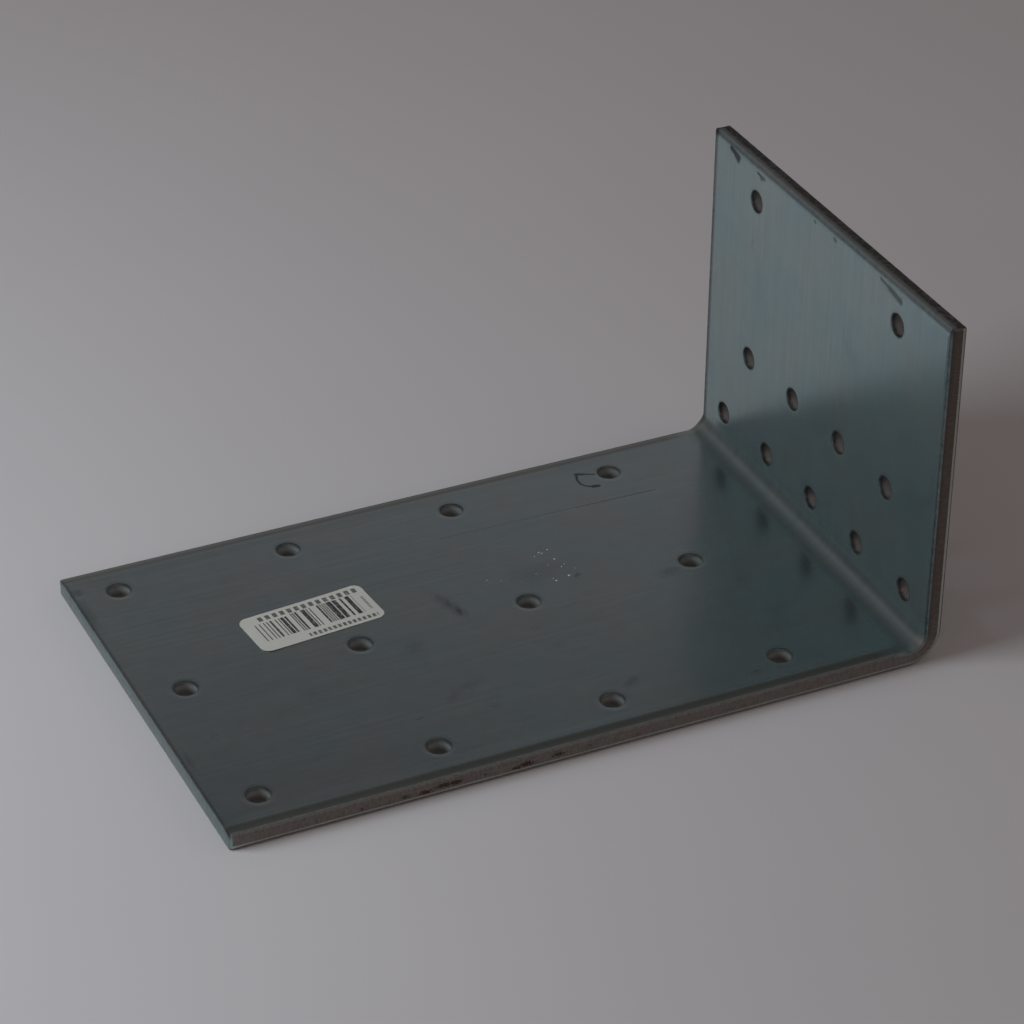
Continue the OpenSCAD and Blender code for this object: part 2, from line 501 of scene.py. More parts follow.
    # sheared wall: rows of the outline from the rolled edge down to the rounded one
    edge_s, edge_y = rounded_s.reshape(-1)[outline], rounded_y.reshape(-1)[outline]
    tangent = np.stack([np.roll(edge_s, -1) - np.roll(edge_s, 1),
                        np.roll(edge_y, -1) - np.roll(edge_y, 1)])
    tangent /= np.hypot(*tangent)
    rows = np.linspace(0, 1, 12)[1:-1]
    depth = faces[0][2] + rows[:, None] * (faces[1][2] - faces[0][2])
    torn = np.sin(math.pi * rows[:, None]) ** 0.5
    run = np.concatenate([[0], np.cumsum(np.hypot(np.diff(edge_s), np.diff(edge_y)))])
    rough = ripple(run[None] / (0.7 * MM), depth / (2.5 * MM), 11)
    rough = rough * 0.6 + ripple(run[None] / (2.6 * MM), depth / (1.5 * MM), 12) * 0.6
    sheared = np.clip((edge_s - flat.low) / (0.6 * MM) - 0.3, 0, 1)
    out = torn * sheared * sizes.tear * (rough - 0.9)
    # the short leg's top is rubbed, so only part of it still shows the tear
    sheared = sheared * np.where(edge_s > flat.high - 0.3 * MM, 0.62, 1.0)
    wall = surface.add(edge_s + tangent[1] * out, edge_y - tangent[0] * out, depth, sheared)
    wall = np.concatenate([faces[0][0][None], wall, faces[1][0][None]])
    surface.join(ring_quads(wall[:-1], wall[1:]))

    # walls of the holes: smooth where the punch cut, a little wider and rough where it tore
    depth = np.linspace(sizes.mouth_depth + sizes.dish, flat.sheet - FAR_MOUTH_DEPTH, 9)[1:-1]
    cut = np.clip((depth - TEAR_START) / TEAR_BLEND, 0, 1)
    rough = ripple(angle * 3.1 + centres[:, :1, None] * 900, depth[None, :, None] / MM, 21)
    wide = radius + cut[None, :, None] * (0.10 * MM + 0.05 * MM * rough)
    hole_s = centres[:, 0, None, None] + wide * circle[:, 0]
    hole_y = centres[:, 1, None, None] + wide * circle[:, 1]
    walls = surface.add(hole_s, hole_y, depth[None, :, None], IN_HOLE)
    walls = np.concatenate([faces[0][1][:, None], walls, faces[1][1][:, None]], axis=1)
    surface.join(ring_quads(walls[:, :-1], walls[:, 1:]), turned=True)
    return surface.finished()


def strip_mesh(sizes):
    """Mesh of the folded strip, with its flat coordinates, wall share, dirt with painted shade,
    painted highlight in the holes and rust kept as attributes that the materials read."""
    flat = Flat(sizes)
    points, wall, quads = strip_surface(sizes, flat)
    s, y, d = points.T.copy()
    side, top, end = flat.insets(s, y)
    squeeze = flat.in_fold(s) * bell(side / (2.2 * MM))
    pushed = y + np.sign(y) * sizes.bulge * squeeze * (1 - 1.5 * d / flat.sheet)
    folded = flat.fold_up(s, pushed, d)
    folded[:, 2] = np.maximum(folded[:, 2], STRIP_LOW[2])

    inside = 1 - np.clip(d / (1.5 * MM), 0, 1)
    dirt_and_shade = soft_marks(SMUDGES, s, y, flat.heel) * 1.6
    dirt_and_shade += soft_marks(DENTS, s, y, flat.heel) * 4.5
    near, on_short = y < 0, flat.bend_share(s)
    # an oily layer on the long leg's bent edges that is partly painted dark reflection, and darker
    # bands along the short leg's edges and top
    film_and_shade = near_edge(side, 3.5, 2.5) * np.where(near, 0.88, 0.75)
    film_and_shade *= 0.35 + 0.65 * np.clip((flat.fold_start - s) / (7 * MM), 0, 1)
    film_and_shade *= 1 - on_short
    for distance, start_mm, full_mm, strength in (
            (side, 0.75, 0.45, 0.85 * on_short * near),
            (side, 2.4, 0.9, 0.75 * on_short * (1 - near)), (top, 1.9, 0.4, 0.60)):
        dirt_and_shade += near_edge(distance, start_mm, full_mm) * strength
    # the fold is dull, but for a line along it that the bending polished
    # painted shade on the fold: a dark band on its long-leg side and a darker coat on its short-leg
    # side, with a narrow line of reflection left between them
    film_and_shade = np.maximum(film_and_shade, 0.60 * bell((on_short - 0.20) / 0.17) * (on_short > 0))
    fold_shade = bell((on_short - 0.70) / 0.26) * (on_short < 1)
    dirt_and_shade += 0.35 * bell(side / (0.5 * MM)) * (1 - on_short)
    # painted dark reflection in the rolled mouths of the holes
    off_s, off_y = from_hole(hole_centres(flat), s, y)
    gap = np.hypot(off_s, off_y) - hole_radius()
    dirt_and_shade += 0.75 * bell((gap - 0.05 * MM) / (0.12 * MM))
    dirt_and_shade = dirt_and_shade * inside
    # darker on the cut free end, most at its top, and over the back of the short leg's top; painted
    # shade where the outside rounding turns under on the near side
    free_end = near_edge(end, 0.5, 0.1)
    dirt_and_shade += free_end * (0.54 - 0.17 * d / flat.sheet)
    dirt_and_shade += near_edge(top, 0.5, 0.2) * np.clip((d - 0.8 * MM) / (1.2 * MM), 0, 1) * 0.95
    under = np.clip((d - 3.35 * MM) / (0.2 * MM), 0, 1) * near_edge(side, 0.9, 0.6) * near
    dirt_and_shade += 0.85 * under * (1 - free_end)

    rust = np.zeros_like(s)
    for x, half_long, depth, half_depth, strength in RUST:
        spot = bell((s - x * MM) / (half_long * MM)) * bell((d - depth * MM) / (half_depth * MM))
        rust += strength * spot * (y < -flat.half_w + 1 * MM)
    # painted highlight on one side of each hole's wall, weaker on the short leg; painted shade at
    # the top of every hole's wall and over the short leg's hole walls
    in_hole = (gap < 0.25 * MM) * (d > 0.12 * MM) * (wall > 0)
    turned = np.arctan2(off_y, off_s) - math.radians(108) - on_short * math.radians(42)
    hole_highlight = in_hole * np.exp((np.cos(turned) - 1) / (0.6 - 0.42 * on_short))
    hole_highlight = hole_highlight * bell((d - 1.3 * MM) / (1.4 * MM))
    dirt_and_shade += in_hole * (0.45 * on_short + 0.6 * bell((d - 0.2 * MM) / (0.35 * MM)))
    return new_mesh("galvanised_strip", folded, quads, {
        "flat": points, "torn": wall, "dirt_and_shade": np.clip(dirt_and_shade, 0, 1), "rust": rust,
        "film_and_shade": film_and_shade * inside, "hole_highlight": hole_highlight, "squeeze": squeeze * inside,
        "fold_shade": fold_shade * inside})


def near_edge(distance, start_mm, full_mm):
    """Share that rises smoothly from 0 at start_mm from an edge to 1 at full_mm from it."""
    share = np.clip((start_mm * MM - distance) / ((start_mm - full_mm) * MM), 0, 1)
    return share * share * (3 - 2 * share)


def new_mesh(name, points, quads, attributes):
    """A smooth mesh of quads with point attributes: numbers, or vectors where given three wide."""
    mesh = bpy.data.meshes.new(name)
    mesh.from_pydata(points.tolist(), [], quads.tolist())
    for key, values in attributes.items():
        kind = "FLOAT_VECTOR" if values.ndim == 2 else "FLOAT"
        made = mesh.attributes.new(key, kind, "POINT")
        made.data.foreach_set("vector" if values.ndim == 2 else "value",
                              np.ascontiguousarray(values, dtype=np.float32).reshape(-1))
    mesh.shade_smooth()
    mesh.set_sharp_from_angle(angle=math.radians(42))
    return mesh


def place(mesh, material, slot, *nodes):
    """Adds the mesh as a piece that rides on the one body, and stands for the CAD nodes named."""
    piece = bpy.data.objects.new(mesh.name, mesh)
    bpy.context.scene.collection.objects.link(piece)
    mesh.materials.append(material)
    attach(piece, "root")
    if nodes:
        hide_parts(*nodes)
    return piece


# ---------------------------------------------------------------- the label and the flecks


def label_mesh(sizes):
    """The label: a sheet whose outline is a rectangle with quarter-disc corners. Its upper side
    lifts towards two corners as the square of the way out, and is faintly creased."""
    half_u, half_v, radius = sizes.long / 2, sizes.wide / 2, sizes.corner
    corner = radius * np.linspace(0, 1, 6)
    lines = [np.unique(np.round(np.concatenate([
        -half + corner, half - corner, np.linspace(-half + radius, half - radius, count)]), PLACES))
        for half, count in ((half_u, 34), (half_v, 16))]
    u, v = np.meshgrid(*lines, indexing="ij")
    round_u, round_v = round_corners(u, v, half_u, half_v, radius)
    way = (round_u / half_u) * 0.6 + (round_v / half_v) * 0.55
    out, low_corner = np.clip(way - 0.62, 0, 1), np.clip(-way - 0.72, 0, 1)
    crease = ripple(round_u / (3.2 * MM), round_v / (3.2 * MM), 31)
    lift = sizes.lift * (out ** 2 * 3 + low_corner ** 2 * 2.5) + 0.012 * MM * (1 + crease)
    centre = (LABEL_LOW + LABEL_HIGH) / 2
    cos, sin = math.cos(sizes.turn), math.sin(sizes.turn)
    x, y = centre[0] + round_u * cos - round_v * sin, centre[1] + round_u * sin + round_v * cos
    top = np.stack([x, y, LABEL_LOW[2] + sizes.paper + lift], axis=-1)
    under = np.stack([x, y, LABEL_LOW[2] + lift * 0.98], axis=-1)

    face, outline = grid_quads(*u.shape).reshape(-1, 4), grid_outline(*u.shape)
    quads = np.concatenate([face, (face + u.size)[:, ::-1],
                            ring_quads(outline, outline + u.size)])
    flat = np.stack([round_u, round_v, np.zeros_like(u)], axis=-1).reshape(-1, 3)
    return new_mesh("paper_label_sheet", np.concatenate([top.reshape(-1, 3), under.reshape(-1, 3)]),
                    quads, {"flat": np.concatenate([flat, flat])})


# Flecks on the long leg: x, y, half length, half width (mm), turn in degrees
FLECKS = [
    (18.3, 16.4, 0.34, 0.06, -14), (18.9, 15.9, 0.30, 0.13, 20), (20.3, 12.7, 0.26, 0.18, 15),
    (20.4, 9.4, 0.11, 0.08, 0), (20.4, 5.6, 0.30, 0.22, 10), (16.7, 5.9, 0.14, 0.07, 60),
    (17.0, 4.9, 0.26, 0.09, -30), (16.7, 15.3, 0.13, 0.08, 20), (20.5, 16.8, 0.14, 0.10, 0),
    (14.1, 9.0, 0.08, 0.06, 0), (18.0, 11.2, 0.08, 0.06, 0), (21.4, 10.2, 0.08, 0.06, 0),
    (22.8, 7.6, 0.07, 0.05, 0), (3.4, 11.2, 0.13, 0.05, 75), (6.0, 9.6, 0.12, 0.05, 30),
]


def fleck_mesh(sizes):
    """Torn flecks of paper and glue on the long leg: each a low ragged dome, whose rim is an
    ellipse scaled at every point by a number drawn from a fixed seed."""
    draw = np.random.default_rng(8)
    x, y, half_long, half_wide = (np.array(FLECKS)[:, :4] * MM).T
    turn = np.radians([fleck[4] for fleck in FLECKS])
    count, sides = len(FLECKS), 12
    around = np.arange(sides) * 2 * math.pi / sides
    ragged = draw.uniform(0.7, 1.3, (count, sides))
    along = half_long[:, None] * np.cos(around) * ragged
    across = half_wide[:, None] * np.sin(around) * ragged
    base_z = STRIP_LOW[2] + sizes.sheet
    rings = []
    for share, height in ((1.0, -0.10), (1.0, 0.01), (0.8, 0.06), (0.35, 0.09)):
        rings.append(np.stack([
            x[:, None] + share * (along * np.cos(turn)[:, None] - across * np.sin(turn)[:, None]),
            y[:, None] + share * (along * np.sin(turn)[:, None] + across * np.cos(turn)[:, None]),
            np.full((count, sides), base_z + height * MM)], axis=-1))
    points = np.stack(rings)
    number = np.arange(points[..., 0].size).reshape(points.shape[:3])
    walls = ring_quads(number[1:], number[:-1])
    mesh = bpy.data.meshes.new("paper_flecks")
    mesh.from_pydata(points.reshape(-1, 3).tolist(), [],
                     walls.tolist() + number[-1].tolist() + number[0][:, ::-1].tolist())
    mesh.shade_smooth()
    return mesh


# ---------------------------------------------------------------- materials


def add_node(tree, kind, inputs=(), **settings):
    """Adds one shader node. settings are its properties; inputs pairs a socket's name or number
    with a value, or with the node or socket that feeds it. Below, add is this function bound to
    the tree at hand."""
    made = tree.nodes.new("ShaderNode" + kind)
    for key, value in settings.items():
        setattr(made, key, value)
    for key, value in dict(inputs).items():
        if isinstance(value, bpy.types.Node):
            value = value.outputs[0]
        if isinstance(value, bpy.types.NodeSocket):
            tree.links.new(value, made.inputs[key])
        else:
            made.inputs[key].default_value = value
    return made


def every(size_mm):
    """Texture scale whose features come about every size_mm millimetres."""
    return 1 / (size_mm * MM)


def emptied(owner):
    """The material or world given, with an empty node tree, and the function that adds to it."""
    owner.use_nodes = True
    owner.node_tree.nodes.clear()
    return owner, partial(add_node, owner.node_tree)


def scratch(add, point, origin_s, start, end, half_width_mm, strength):
    """Share of a straight scratch on the flat strip: strength times one within half a width of
    the line from start to end (mm), fading to nothing at twice that."""
    a, b = ((origin_s + x * MM, y * MM) for x, y in (start, end))
    line = np.subtract(b, a)
    from_start = add("VectorMath", {0: point, 1: (a[0], a[1], 0)}, operation="SUBTRACT")
    along = add("VectorMath", {0: from_start, 1: tuple(line / line.dot(line)) + (0,)},
                operation="DOT_PRODUCT")
    along = add("Math", {0: along.outputs["Value"], 1: 0.0}, operation="MAXIMUM")
    along = add("Math", {0: along, 1: 1.0}, operation="MINIMUM")
    nearest = add("VectorMath", {0: tuple(line) + (0,), "Scale": along}, operation="SCALE")
    off = add("VectorMath", {0: from_start, 1: nearest}, operation="DISTANCE")
    return add("MapRange", {"Value": off.outputs["Value"], "From Min": half_width_mm * MM * 2,
                                  "From Max": half_width_mm * MM * 0.5, "To Max": strength},
               interpolation_type="SMOOTHSTEP")


# Scratches and scuffs, listed as the soft marks are: start, end, half width (mm), strength
DARK_SCRATCHES = ([
    ((0.9, 30.3), (33.2, 29.8), 0.10, 0.20), ((33.2, 29.8), (53.3, 29.2), 0.14, 0.30),
    ((-31.5, -29.8), (-29.6, -29.5), 0.12, 0.30), ((39.9, 42.3), (41.4, 41.7), 0.34, 0.70),
    ((41.4, 41.7), (43.7, 40.7), 0.24, 0.60), ((39.9, 42.1), (39.1, 40.0), 0.22, 0.70),
    ((39.1, 40.0), (39.1, 38.1), 0.20, 0.70), ((39.1, 38.1), (39.9, 36.8), 0.20, 0.70),
    ((39.9, 36.8), (41.2, 36.1), 0.22, 0.72), ((41.2, 36.1), (42.4, 35.9), 0.40, 0.75)
], [
    ((78.5, 42.0), (77.7, 38.6), 0.60, 0.85), ((77.9, 40.6), (76.9, 38.8), 0.50, 0.80),
    ((78.0, 30.0), (77.7, 27.0), 0.30, 0.70), ((77.8, 28.9), (77.2, 28.2), 0.35, 0.60),
    ((78.2, 5.2), (78.0, 4.7), 0.28, 0.55), ((78.1, -3.3), (77.8, -3.9), 0.32, 0.60),
    ((78.2, -22.6), (77.6, -26.5), 0.34, 0.55), ((77.6, -26.0), (76.8, -30.6), 0.60, 0.60),
    ((61.0, 30.8), (59.5, 30.6), 0.40, 0.12)
])
LIGHT_SCRATCHES = ([
    ((42.8, -32.6), (42.1, -42.5), 0.09, 0.30), ((48.0, -42.5), (51.0, -43.5), 0.09, 0.22),
    ((3.2, 12.0), (3.6, 9.8), 0.10, 0.22), ((4.4, 12.4), (6.4, 10.2), 0.10, 0.18),
    ((6.0, 9.4), (8.4, 10.0), 0.10, 0.18)
], [
    ((24.8, -20.4), (20.2, -20.1), 0.10, 0.30), ((38.6, -28.2), (37.0, -27.8), 0.20, 0.22)
])


def zinc_coated_steel(finish, strip):
    """Cold-rolled steel sheet with an electroplated zinc coat: a semi-gloss blue-grey metal with
    faint rolling lines and cloudy patches. Its sheared edges are drawn smooth at the top, torn
    brown and rough in the middle and tumbled bright at the bottom."""
    material, add = emptied(bpy.data.materials.new("zinc_coated_steel"))
    flat = add("Attribute", attribute_name="flat").outputs["Vector"]
    sheared, dirt_and_shade, film_and_shade, rust, hole_highlight, squeeze, fold_shade = (
        add("Attribute", attribute_name=name).outputs["Fac"]
        for name in ("torn", "dirt_and_shade", "film_and_shade", "rust", "hole_highlight", "squeeze", "fold_shade"))
    along, _, depth = add("SeparateXYZ", {0: flat}).outputs

    # patterns, by the size of their features in millimetres, detail and roughness: lines left by
    # the rolls, clouds and mottle of the coat, smudges, strokes of the tear and grains of rust
    rolled, drawn = (add("Mapping", {"Vector": flat, "Scale": scale})
                     for scale in ((0.03, 1, 1), (1, 1, 0.35)))
    lines, clouds, mottle, smudges, strokes, grains = (
        add("TexNoise", {"Vector": vector, "Scale": every(size_mm), "Detail": detail,
                               "Roughness": roughness})
        for vector, size_mm, detail, roughness in (
            (rolled, 1.0, 1, 0.5), (flat, 17, 1, 0.4), (flat, 4.5, 2, 0.6), (flat, 1.1, 3, 0.7),
            (drawn, 0.5, 4, 0.7), (flat, 0.42, 3, 0.7)))
    # the strokes make the border of the torn band ragged, and the grains break up the rust
    ragged, grainy, smudged = (
        add("Math", {0: pattern, 1: weight, 2: rest}, operation="MULTIPLY_ADD")
        for pattern, weight, rest in (
            (strokes, 0.4 * MM, depth), (grains, 3.0, rust), (smudges, 1.1, 0.35)))

    # shares that rise smoothly from 0 where the value is low to 1 where it is high
    cloudy, short_leg, below_top, above_end, tumbled, torn_dark_share, rusty, past_start, before_end = (
        add("MapRange", {"Value": value, "From Min": low, "From Max": high},
            interpolation_type="SMOOTHSTEP")
        for value, low, high in (
            (clouds, 0.30, 0.72), (along, strip.fold_start, strip.fold_start + 14 * MM),
            (ragged, 0.46 * MM, 0.62 * MM), (ragged, 3.2 * MM, 3.0 * MM),
            (depth, 2.75 * MM, 3.1 * MM), (strokes, 0.60, 0.34), (grainy, 1.95, 2.18),
            (along, strip.fold_start - 3 * MM, strip.fold_start + 2 * MM),
            (along, strip.fold_end + 3 * MM, strip.fold_end - 2 * MM)))
    products = []
    for product, *others in (
            (below_top, above_end, sheared), (past_start, before_end), (tumbled, sheared, 0.85),
            (squeeze, 0.6), (torn_dark_share, 0.6), (dirt_and_shade, smudged)):
        for other in others:
            product = add("Math", {0: product, 1: other}, operation="MULTIPLY")
        products.append(product)
    torn, folded, tumbled, squeezed, torn_dark_share, marks = products
    rusty, torn_strokes = (add("Math", {0: share, 1: torn}, operation="MULTIPLY")
                           for share in (rusty, strokes))
    bright = add("Math", {0: tumbled, 1: squeezed}, operation="MAXIMUM")
    # painted shade: the short leg's torn edge is made dark throughout
    torn_dark_share = add("Math", {0: short_leg, 1: 0.75, 2: torn_dark_share}, operation="MULTIPLY_ADD",
                 use_clamp=True)
    strongest = []
    for share, scratches in ((marks, DARK_SCRATCHES), (0.0, LIGHT_SCRATCHES)):
        for origin_s, mark in [(0.0, mark) for mark in scratches[0]] + [
                (strip.heel, mark) for mark in scratches[1]]:
            share = add("Math", {0: share, 1: scratch(add, flat, origin_s, *mark)},
                        operation="MAXIMUM")
        strongest.append(share)
    marks, rubbed = strongest
    marks = add("Math", {0: marks, 1: 0.92}, operation="MINIMUM")

    # brightness of the coat, roughness, metallic share and relief in millimetres: each is a first
    # value plus shares times their weights. The brightness is painted darker over the fold's
    # short-leg side and a little over the short leg, as painted shade
    sums = []
    for total, terms in (
            (0.82, ((mottle, 0.14), (lines, 0.18), (fold_shade, -0.50), (short_leg, -0.06))),
            (finish.roughness, ((clouds, 0.03), (mottle, 0.02), (marks, 0.22), (torn, 0.30),
                                (film_and_shade, 0.15), (folded, 0.14), (rusty, 0.25))),
            (0.968, ((torn, -0.75), (film_and_shade, -0.40), (rusty, -0.50))),
            (0.0, ((lines, 0.005), (torn_strokes, 0.07), (rusty, -0.05)))):
        for share, weight in terms:
            total = add("Math", {0: share, 1: weight, 2: total}, operation="MULTIPLY_ADD")
        sums.append(total)
    shade, roughness, metallic, relief = sums

    # a colour Mix node's two colours are its sockets 6 and 7, and its result is output 2
    # wall_colour carries the painted highlight in the holes
    zinc, torn_colour, wall_colour = (
        add("Mix", {0: share, 6: first, 7: second}, data_type="RGBA").outputs[2]
        for share, first, second in (
            (cloudy, finish.zinc_blue, finish.zinc_grey), (torn_dark_share, finish.torn, finish.torn_dark),
            (hole_highlight, finish.hole_wall, finish.rub_and_highlight)))
    in_hole = add("MapRange", {"Value": sheared, "From Min": 0.92, "From Max": 0.75})
    torn_colour = add("Mix", {0: in_hole, 6: torn_colour, 7: wall_colour},
                      data_type="RGBA").outputs[2]
    base = add("VectorMath", {0: zinc, "Scale": shade}, operation="SCALE").outputs[0]
    # the dark dirt colour goes on both as dirt and as painted shade, and the oily colour partly as
    # painted reflection and shade
    for share, layer in ((film_and_shade, finish.film_and_shade), (rubbed, finish.rub_and_highlight),
                         (bright, finish.burnished), (torn, torn_colour),
                         (rusty, finish.rust), (marks, finish.dirt_and_shade)):
        base = add("Mix", {0: share, 6: base, 7: layer}, data_type="RGBA").outputs[2]

    bump = add("Bump", {"Height": relief, "Distance": MM, "Strength": 1.0})
    shader = add("BsdfPrincipled", {
        "Base Color": base, "Metallic": add("Clamp", {0: metallic}),
        "Roughness": roughness, "Normal": bump})
    add("OutputMaterial", {"Surface": shader})
    return material


def within(add, value, low_mm, high_mm, soft_mm=0.06):
    """Share that is 1 where value is between low and high, with a soft border."""
    up, down = (
        add("MapRange", {"Value": value, "From Min": start * MM, "From Max": end * MM})
        for start, end in ((low_mm - soft_mm, low_mm + soft_mm),
                           (high_mm + soft_mm, high_mm - soft_mm)))
    return add("Math", {0: up, 1: down}, operation="MULTIPLY")


def blocks(add, along, pitch_mm, filled):
    """Share that is 1 over the first filled part of each pitch along a coordinate."""
    turns = add("Math", {0: along, 1: every(pitch_mm), 2: 100.0}, operation="MULTIPLY_ADD")
    part = add("Math", {0: turns}, operation="FRACT")
    return add("Math", {0: part, 1: filled}, operation="LESS_THAN")


def label_paper(finish, sizes):
    """Coated label paper: off-white, faintly fibrous and nearly matt, printed with plain bars and
    blocks that stand for no words or numbers."""
    material, add = emptied(bpy.data.materials.new("label_paper"))
    flat = add("Attribute", attribute_name="flat").outputs["Vector"]
    u, v, _ = add("SeparateXYZ", {0: flat}).outputs
    half = sizes.long / 2 / MM

    # bars: a chance run of cells a quarter of a millimetre wide
    number = add("Math", {0: u, 1: every(0.25)}, operation="MULTIPLY")
    number = add("Math", {0: number}, operation="FLOOR")
    chance = add("TexWhiteNoise", {"W": number}, noise_dimensions="1D")
    bars = add("Math", {0: chance, 1: 0.5}, operation="LESS_THAN")
    # two fields of bars, and rows of blocks by the far edge, by the near edge and across the
    # right end: pattern, extent along the label from its left end and across it (mm), darkness
    ink = 0.0
    for pattern, left, right, low, high, dark in (
            (bars, 2.3, 10.1, -3.2, 3.4, 1.0), (bars, 11.0, 25.6, -3.4, 3.8, 1.0),
            (blocks(add, u, 1.72, 0.58), 3.5, 27.9, 4.15, 5.75, 0.85),
            (blocks(add, u, 1.17, 0.62), 11.2, 27.6, -5.9, -4.7, 0.85),
            (blocks(add, v, 0.6, 0.6), 27.1, 27.7, -2.8, 2.2, 0.85)):
        for share in (within(add, u, left - half, right - half), within(add, v, low, high),
                      dark):
            pattern = add("Math", {0: pattern, 1: share}, operation="MULTIPLY")
        ink = add("Math", {0: ink, 1: pattern}, operation="MAXIMUM")
    worn = add("TexNoise", {"Vector": flat, "Scale": every(0.7), "Detail": 3})
    worn = add("MapRange", {"Value": worn, "From Min": 0.25, "From Max": 0.5,
                                  "To Min": 0.55, "To Max": 0.95})
    ink = add("Math", {0: ink, 1: worn}, operation="MULTIPLY")

    fibres = add("TexNoise", {"Vector": flat, "Scale": every(0.35), "Detail": 4,
                                    "Roughness": 0.7})
    soiling = add("TexNoise", {"Vector": flat, "Scale": every(6), "Detail": 3})
    tone = add("Math", {0: soiling, 1: 0.18, 2: 0.84}, operation="MULTIPLY_ADD")
    tone = add("Math", {0: fibres, 1: 0.10, 2: tone}, operation="MULTIPLY_ADD")
    paper = add("VectorMath", {0: finish.paper[:3], "Scale": tone}, operation="SCALE")
    base = add("Mix", {0: ink, 6: paper, 7: finish.ink}, data_type="RGBA")
    bump = add("Bump", {"Height": fibres, "Distance": 0.01 * MM, "Strength": 0.6})
    shader = add("BsdfPrincipled", {"Base Color": base.outputs[2], "Roughness": 0.5,
                                          "IOR": 1.5, "Normal": bump})
    add("OutputMaterial", {"Surface": shader})
    return material


def glue_flecks(finish):
    """Dried glue and torn paper fibre: off-white and matt, a little yellow in the thicker parts."""
    material, add = emptied(bpy.data.materials.new("glue_and_paper_flecks"))
    place_in = add("TexCoord").outputs["Object"]
    mottle = add("TexNoise", {"Vector": place_in, "Scale": every(0.4), "Detail": 2})
    tone = add("Math", {0: mottle, 1: 0.3, 2: 0.8}, operation="MULTIPLY_ADD")
    tint = add("VectorMath", {0: finish.flecks[:3], "Scale": tone}, operation="SCALE")
    shader = add("BsdfPrincipled", {"Base Color": tint, "Roughness": 0.6, "IOR": 1.48})
    add("OutputMaterial", {"Surface": shader})
    return material


def matt_floor(studio):
    """Matt painted board: pale, warm grey and even, with a faint cloudiness."""
    material, add = emptied(bpy.data.materials.new("matt_floor"))
    place_in = add("TexCoord").outputs["Object"]
    clouds = add("TexNoise", {"Vector": place_in, "Scale": every(90), "Detail": 3})
    tone = add("Math", {0: clouds, 1: 0.05, 2: 0.975}, operation="MULTIPLY_ADD")
    tint = add("VectorMath", {0: studio.floor[:3], "Scale": tone}, operation="SCALE")
    shader = add("BsdfPrincipled", {"Base Color": tint, "Roughness": 0.85, "IOR": 1.45,
                                          "Specular IOR Level": 0.2})
    add("OutputMaterial", {"Surface": shader})
    return material


# ---------------------------------------------------------------- operators


class BRACKET_OT_strip(bpy.types.Operator):
    """Build the folded and punched steel strip"""

    bl_idname = "bracket.strip"
    bl_label = "Steel strip"

    def execute(self, context):
        scene = context.scene
        steel = zinc_coated_steel(scene.bracket_finish, Flat(scene.strip_sizes))
        place(strip_mesh(scene.strip_sizes), steel, "galvanised_steel", "bracket")
        return {"FINISHED"}


class BRACKET_OT_label(bpy.types.Operator):
    """Build the paper label and the flecks of paper left on the long leg"""

    bl_idname = "bracket.label"
    bl_label = "Paper label"

    def execute(self, context):
        scene = context.scene
        place(label_mesh(scene.label_sizes), label_paper(scene.bracket_finish, scene.label_sizes),
              "label_paper", "paper_label")
        place(fleck_mesh(scene.strip_sizes), glue_flecks(scene.bracket_finish), "label_paper")
        return {"FINISHED"}


class BRACKET_OT_studio(bpy.types.Operator):
    """Lay the floor and set up the lights and the camera"""

    bl_idname = "bracket.studio"
    bl_label = "Studio"

    def execute(self, context):
        scene, studio = context.scene, context.scene.bracket_studio
        lay_floor(scene, studio)
        set_lights(scene, studio)
        set_camera(scene, studio)
        scene.view_settings.view_transform = "Standard"
        return {"FINISHED"}


def lay_floor(scene, studio):
    """A wide level floor, as a grid whose squares grow with the distance from the middle."""
    even = np.linspace(-1, 1, 25)
    line = np.sign(even) * even ** 2 * 30
    x, y = np.meshgrid(line, line, indexing="ij")
    quads = grid_quads(*x.shape).reshape(-1, 4)
    mesh = bpy.data.meshes.new("floor")
    mesh.from_pydata(np.stack([x, y, np.zeros_like(x)], axis=-1).reshape(-1, 3).tolist(), [],
                     quads.tolist())
    mesh.materials.append(matt_floor(studio))
    floor = bpy.data.objects.new("floor", mesh)
    scene.collection.objects.link(floor)


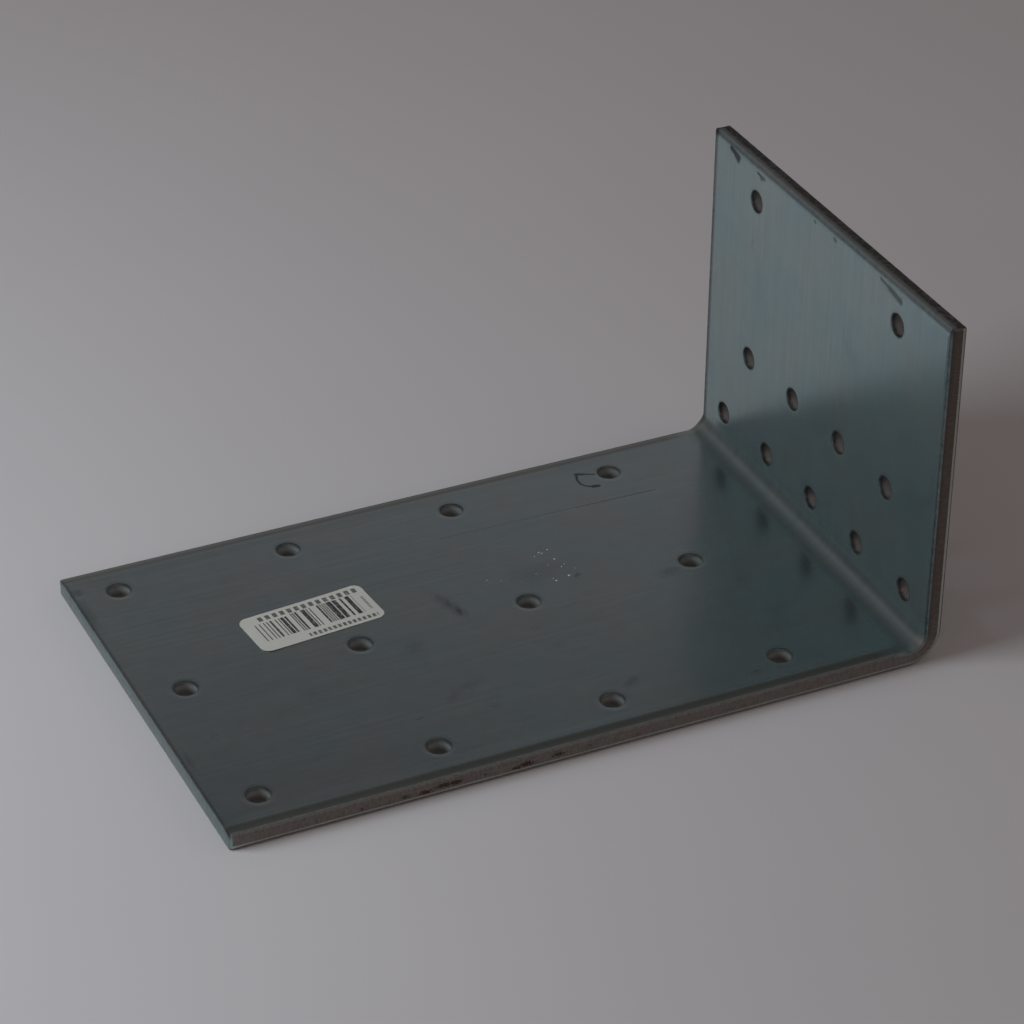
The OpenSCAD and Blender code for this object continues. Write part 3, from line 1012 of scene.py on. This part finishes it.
def set_lights(scene, studio):
    """A wide soft light from the left, and a dim even room round the studio."""
    scene.world, add = emptied(bpy.data.worlds.new("room"))
    way = add("TexCoord").outputs["Generated"]
    height = add("SeparateXYZ", {0: way}).outputs["Z"]
    # brighter towards the front, dimmer at the horizon and much dimmer high up, but for a pale
    # patch straight overhead
    tilt = add("VectorMath", {0: way, 1: (-0.10, -0.45, 0.0)}, operation="DOT_PRODUCT")
    sides = add("Math", {0: tilt.outputs["Value"], 1: 1.40}, operation="ADD")
    fade, overhead, rise = (
        add("MapRange", {"Value": height, "From Min": low, "From Max": high,
                               "To Min": at_low, "To Max": at_high}, interpolation_type=kind)
        for low, high, at_low, at_high, kind in (
            (0.50, 0.62, 1.0, 0.09, "SMOOTHSTEP"), (0.72, 0.92, 0.0, 0.34, "SMOOTHSTEP"),
            (0.0, 0.28, 0.65, 1.0, "LINEAR")))
    strength = add("Math", {0: fade, 1: overhead}, operation="MAXIMUM")
    for factor in (sides, rise):
        strength = add("Math", {0: strength, 1: factor}, operation="MULTIPLY")
    glow = add("Background", {"Color": studio.sky, "Strength": strength})
    add("OutputWorld", {"Surface": glow})

    # both lights are so wide and dim in the room that metal shows no image of them
    for name, power, size, place_at, aim, tint in (
            ("window_light", studio.window, 0.36, (-0.56, 0.08, 0.26), (0, 0.02, 0), "#e8f3ff"),
            ("fill_light", studio.fill, 2.4, (0.1, 0.3, 2.2), (0, 0, 0), "#fff3e8")):
        data = bpy.data.lights.new(name, "AREA")
        data.size, data.energy, data.color = size, power, linear(tint)[:3]
        light = bpy.data.objects.new(name, data)
        scene.collection.objects.link(light)
        light.visible_glossy = False
        light.location = place_at
        light.rotation_mode = "QUATERNION"
        light.rotation_quaternion = aimed(np.subtract(aim, place_at), 0.0).to_quaternion()


def aimed(forward, roll):
    """Rotation that looks along forward with -Z, level but for a turn of roll about forward."""
    forward = Vector(forward).normalized()
    right = forward.cross(Vector((0, 0, 1))).normalized()
    up = right.cross(forward)
    right, up = (right * math.cos(roll) + up * math.sin(roll),
                 up * math.cos(roll) - right * math.sin(roll))
    return Matrix((right, up, -forward)).transposed()


def set_camera(scene, studio):
    """The camera, a little above the bracket and to the left of its long leg."""
    data = bpy.data.cameras.new("camera")
    data.sensor_width, data.lens = 36.0, studio.lens
    camera = bpy.data.objects.new("camera", data)
    scene.collection.objects.link(camera)
    place_at, aim = np.array(studio.camera), np.array(studio.aim)
    camera.location = place_at
    camera.rotation_mode = "QUATERNION"
    camera.rotation_quaternion = aimed(aim - place_at, studio.roll).to_quaternion()
    scene.camera = camera


class BRACKET_PT_panel(bpy.types.Panel):
    """Lists the steps that build the bracket"""

    bl_idname = "BRACKET_PT_panel"
    bl_label = "Corner Brace Bracket"
    bl_space_type = "VIEW_3D"
    bl_region_type = "UI"
    bl_category = "Bracket"

    def draw(self, context):
        for operator in OPERATORS:
            self.layout.operator(operator.bl_idname)


GROUPS = {"strip_sizes": StripSizes, "label_sizes": LabelSizes, "bracket_finish": Finish,
          "bracket_studio": Studio}
OPERATORS = (BRACKET_OT_strip, BRACKET_OT_label, BRACKET_OT_studio)


def register():
    for group in GROUPS.values():
        bpy.utils.register_class(group)
    for name, group in GROUPS.items():
        setattr(bpy.types.Scene, name, PointerProperty(type=group))
    for item in OPERATORS + (BRACKET_PT_panel,):
        bpy.utils.register_class(item)


def unregister():
    for item in (BRACKET_PT_panel,) + OPERATORS[::-1]:
        bpy.utils.unregister_class(item)
    for name in GROUPS:
        delattr(bpy.types.Scene, name)
    for group in reversed(GROUPS.values()):
        bpy.utils.unregister_class(group)


def main():
    register()
    bpy.ops.bracket.strip()
    bpy.ops.bracket.label()
    bpy.ops.bracket.studio()
    bpy.context.view_layer.update()


if __name__ == "__main__":
    main()
